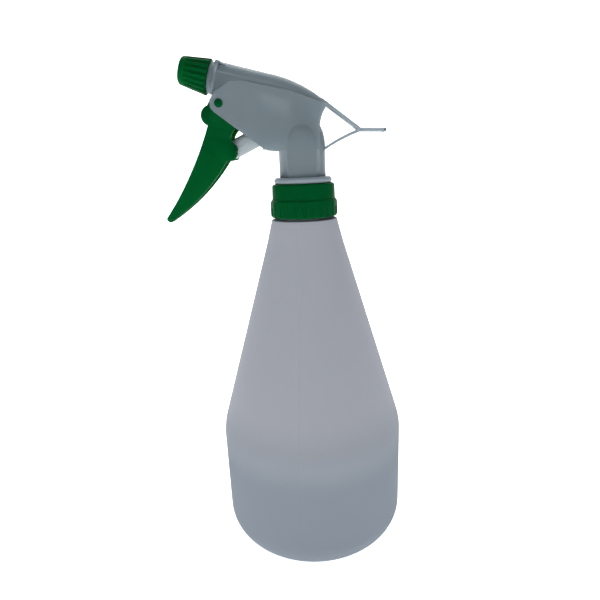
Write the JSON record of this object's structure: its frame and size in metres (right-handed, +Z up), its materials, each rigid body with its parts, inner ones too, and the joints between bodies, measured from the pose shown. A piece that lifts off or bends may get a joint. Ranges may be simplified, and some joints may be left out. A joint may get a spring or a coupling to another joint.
{
  "type": "trigger spray bottle",
  "caption": "Translucent cone-shoulder spray bottle with a screw collar and a trigger pump head that has a fluted adjusting nozzle and a springy forked tail.",
  "frame": {"origin": "centre of the bottle's base, on the surface it stands on", "axes": "+Z up along the bottle's axis, -X towards the nozzle and trigger, +X towards the tail"},
  "size_m": [0.1186, 0.0986, 0.2555],
  "materials": {
    "hdpe_natural": "satin",
    "washer_foam": "matte",
    "pp_green": "semi-gloss",
    "pp_white": "satin",
    "pp_natural": "satin",
    "steel": "drawn",
    "tube_clear": "satin",
    "seal_rubber": "matte",
    "ldpe_natural": "satin"
  },
  "bodies": {
    "bottle": {"bottle": "hdpe_natural"},
    "washer": {"bottle_gasket": "washer_foam"},
    "collar": {"screw_collar": "pp_green"},
    "head": {"shroud": "pp_natural", "pump_body": "pp_natural", "stem_insert": "pp_white", "dip_tube": "tube_clear", "tube_strainer": "pp_white", "nozzle_holder": "pp_natural", "swirl_insert": "pp_white", "pump_barrel": "pp_natural"},
    "trigger": {"trigger": "pp_green"},
    "piston": {"piston": "ldpe_natural", "piston_seal": "seal_rubber", "return_spring": "steel"},
    "cap_ring": {"nozzle_o_ring": "seal_rubber"},
    "nozzle_cap": {"nozzle_cap": "pp_green"},
    "inlet_ball": {"inlet_ball": "steel"},
    "outlet_valve": {"outlet_valve": "pp_white", "outlet_valve_spring": "steel"}
  },
  "joints": [
    {"name": "closure_lift", "type": "slide", "parent": "bottle", "child": "washer", "axis": [0, 0, 1], "range_m": [0, 0.00634]},
    {"name": "collar_turn", "type": "hinge", "parent": "washer", "child": "collar", "pos_m": [0, 0, 0.19], "axis": [0, 0, 1], "range_deg": [0, 540]},
    {"name": "head_swivel", "type": "hinge", "parent": "washer", "child": "head", "pos_m": [0, 0, 0.1978], "axis": [0, 0, 1], "continuous": true},
    {"name": "trigger_pull", "type": "hinge", "parent": "head", "child": "trigger", "pos_m": [-0.0381, 0, 0.233], "axis": [0, -1, 0], "range_deg": [0, 20], "stiffness_Nm_per_rad": 0.35, "springref_deg": -25.78},
    {"name": "piston_stroke", "type": "slide", "parent": "head", "child": "piston", "axis": [0.9063, 0, 0.4226], "range_m": [0, 0.00727], "deforming": ["return_spring"]},
    {"name": "nozzle_advance", "type": "slide", "parent": "head", "child": "cap_ring", "axis": [-0.9613, 0, 0.2756], "range_m": [0, 0.0025]},
    {"name": "nozzle_turn", "type": "hinge", "parent": "cap_ring", "child": "nozzle_cap", "pos_m": [-0.04028, 0, 0.24485], "axis": [-0.9613, 0, 0.2756], "range_deg": [0, 450]},
    {"name": "inlet_ball_lift", "type": "slide", "parent": "head", "child": "inlet_ball", "axis": [0, 0, 1], "range_m": [0, 0.0012]},
    {"name": "outlet_valve_lift", "type": "slide", "parent": "head", "child": "outlet_valve", "axis": [-0.9613, 0, 0.2756], "range_m": [0, 0.0008], "stiffness_N_per_m": 120, "springref_m": -0.0015, "deforming": ["outlet_valve_spring"]}
  ],
  "couplings": [
    {"joint": "collar_turn", "follows": "closure_lift", "rad_per_m": 1485.4},
    {"joint": "piston_stroke", "follows": "trigger_pull", "m_per_rad": 0.020815},
    {"joint": "nozzle_advance", "follows": "nozzle_turn", "m_per_rad": 0.00031831}
  ]
}
